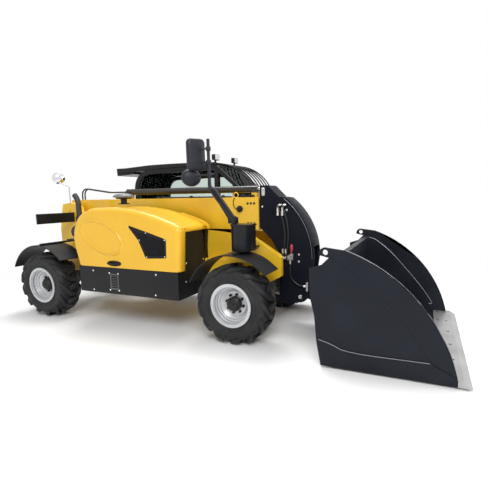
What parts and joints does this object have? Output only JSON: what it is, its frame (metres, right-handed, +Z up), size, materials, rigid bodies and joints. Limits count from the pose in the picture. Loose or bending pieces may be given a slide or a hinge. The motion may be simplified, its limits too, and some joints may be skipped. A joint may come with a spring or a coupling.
{
  "type": "telehandler",
  "caption": "Compact telescopic handler: side cab, side engine pod, level two-stage boom with a gooseneck and an earth bucket, on steered lug-tyred wheels.",
  "frame": {"origin": "bottom centre of the machine's box, on the ground under the middle of its length and width", "axes": "+X forwards to the bucket, +Y to the machine's left, +Z up"},
  "size_m": [5.43, 1.977, 2.1083],
  "materials": {
    "yellow_paint": "gloss",
    "yellow_moulding": "gloss",
    "black_paint": "satin",
    "black_plastic": "matte",
    "cast_iron": "as cast, painted",
    "rim_silver": "satin",
    "tyre": "matte",
    "rod_chrome": "polished",
    "bare_steel": "rolled",
    "glass": "tinted",
    "mirror": "polished",
    "lens": "clear",
    "seat_cover": "grained"
  },
  "bodies": {
    "chassis": {"cab_frame": "black_paint", "cab_glass": "glass", "cab_roof": "black_plastic", "canister": "black_paint", "chassis_frame": "yellow_paint", "chassis_rail_left": "yellow_paint", "chassis_rail_right": "yellow_paint", "controls": "black_plastic", "engine_bay": "black_paint", "engine_block": "cast_iron", "exhaust": "bare_steel", "fenders": "black_plastic", "front_axle": "cast_iron", "lamp_housings": "black_plastic", "lamp_lenses": "lens", "mirror_arm": "black_paint", "mirror_glass": "mirror", "rear_axle": "cast_iron", "rear_boards": "black_paint", "rear_mirror": "bare_steel", "roof_guard": "black_paint", "seat": "seat_cover", "side_tank": "black_paint", "skirt_louvre": "black_plastic"},
    "hood": {"hood": "yellow_moulding", "hood_grille": "black_plastic", "pre_cleaner": "black_plastic"},
    "door": {"cab_door": "black_paint", "door_glass": "glass"},
    "boom": {"outer_boom": "yellow_paint", "extension_barrel": "black_paint", "boom_hoses": "black_plastic"},
    "inner_boom": {"inner_boom": "black_paint", "gooseneck": "black_paint", "extension_rod": "rod_chrome", "neck_hoses": "black_plastic"},
    "bucket": {"bucket": "black_paint", "cutting_edge": "bare_steel", "coupler": "black_paint"},
    "lift_barrel": {"lift_barrel": "black_paint"},
    "lift_rod": {"lift_rod": "rod_chrome"},
    "tilt_barrel": {"tilt_barrel": "black_paint"},
    "tilt_rod": {"tilt_rod": "rod_chrome"},
    "knuckle_front_left": {"knuckle_front_left": "cast_iron"},
    "wheel_front_left": {"rim_front_left": "rim_silver", "hub_front_left": "cast_iron", "tyre_front_left": "tyre"},
    "knuckle_front_right": {"knuckle_front_right": "cast_iron"},
    "wheel_front_right": {"rim_front_right": "rim_silver", "hub_front_right": "cast_iron", "tyre_front_right": "tyre"},
    "knuckle_rear_left": {"knuckle_rear_left": "cast_iron"},
    "wheel_rear_left": {"rim_rear_left": "rim_silver", "hub_rear_left": "cast_iron", "tyre_rear_left": "tyre"},
    "knuckle_rear_right": {"knuckle_rear_right": "cast_iron"},
    "wheel_rear_right": {"rim_rear_right": "rim_silver", "hub_rear_right": "cast_iron", "tyre_rear_right": "tyre"}
  },
  "joints": [
    {"name": "boom_lift", "type": "hinge", "parent": "chassis", "child": "boom", "pos_m": [-2.30005, 0, 1.36], "axis": [0, -1, 0], "range_deg": [0, 62]},
    {"name": "boom_telescope", "type": "slide", "parent": "boom", "child": "inner_boom", "axis": [1, 0, 0], "range_m": [0, 1.8]},
    {"name": "bucket_tilt", "type": "hinge", "parent": "inner_boom", "child": "bucket", "pos_m": [1.06995, 0, 0.42], "axis": [0, 1, 0], "range_deg": [-30, 90]},
    {"name": "lift_barrel_swing", "type": "hinge", "parent": "chassis", "child": "lift_barrel", "pos_m": [-1.91005, 0, 0.56], "axis": [0, -1, 0], "range_deg": [-0.01, 47.05]},
    {"name": "lift_rod_slide", "type": "slide", "parent": "lift_barrel", "child": "lift_rod", "axis": [0.8832, 0, 0.4689], "range_m": [-0.0001, 0.8347]},
    {"name": "tilt_barrel_swing", "type": "hinge", "parent": "inner_boom", "child": "tilt_barrel", "pos_m": [0.70995, 0, 1.35], "axis": [0, 1, 0], "range_deg": [-0.97, 2.9]},
    {"name": "tilt_rod_slide", "type": "slide", "parent": "tilt_barrel", "child": "tilt_rod", "axis": [0.5324, 0, -0.8465], "range_m": [-0.08644, 0.25912]},
    {"name": "hood_open", "type": "hinge", "parent": "chassis", "child": "hood", "pos_m": [-1.62905, -0.304, 1.366], "axis": [-1, 0, 0], "range_deg": [0, 65]},
    {"name": "door_open", "type": "hinge", "parent": "chassis", "child": "door", "pos_m": [-1.44505, 0.854, 0.86], "axis": [0, 0, 1], "range_deg": [0, 85]},
    {"name": "front_steer_left", "type": "hinge", "parent": "chassis", "child": "knuckle_front_left", "pos_m": [0.52995, 0.57, 0.42], "axis": [0, 0, 1], "range_deg": [-30, 30]},
    {"name": "front_left_roll", "type": "hinge", "parent": "knuckle_front_left", "child": "wheel_front_left", "pos_m": [0.52995, 0.696, 0.42], "axis": [0, 1, 0], "continuous": true},
    {"name": "front_steer", "type": "hinge", "parent": "chassis", "child": "knuckle_front_right", "pos_m": [0.52995, -0.57, 0.42], "axis": [0, 0, 1], "range_deg": [-30, 30]},
    {"name": "front_right_roll", "type": "hinge", "parent": "knuckle_front_right", "child": "wheel_front_right", "pos_m": [0.52995, -0.696, 0.42], "axis": [0, 1, 0], "continuous": true},
    {"name": "rear_steer_left", "type": "hinge", "parent": "chassis", "child": "knuckle_rear_left", "pos_m": [-2.24005, 0.57, 0.42], "axis": [0, 0, 1], "range_deg": [-30, 30]},
    {"name": "rear_left_roll", "type": "hinge", "parent": "knuckle_rear_left", "child": "wheel_rear_left", "pos_m": [-2.24005, 0.696, 0.42], "axis": [0, 1, 0], "continuous": true},
    {"name": "rear_steer", "type": "hinge", "parent": "chassis", "child": "knuckle_rear_right", "pos_m": [-2.24005, -0.57, 0.42], "axis": [0, 0, 1], "range_deg": [-30, 30]},
    {"name": "rear_right_roll", "type": "hinge", "parent": "knuckle_rear_right", "child": "wheel_rear_right", "pos_m": [-2.24005, -0.696, 0.42], "axis": [0, 1, 0], "continuous": true}
  ],
  "couplings": [
    {"joint": "lift_barrel_swing", "follows": "boom_lift", "ratio": 0.75869},
    {"joint": "lift_rod_slide", "follows": "boom_lift", "m_per_rad": 0.77127},
    {"joint": "tilt_barrel_swing", "follows": "bucket_tilt", "ratio": 0.0321},
    {"joint": "tilt_rod_slide", "follows": "bucket_tilt", "m_per_rad": 0.1649},
    {"joint": "front_steer_left", "follows": "front_steer", "ratio": 1},
    {"joint": "rear_steer_left", "follows": "rear_steer", "ratio": 1}
  ]
}
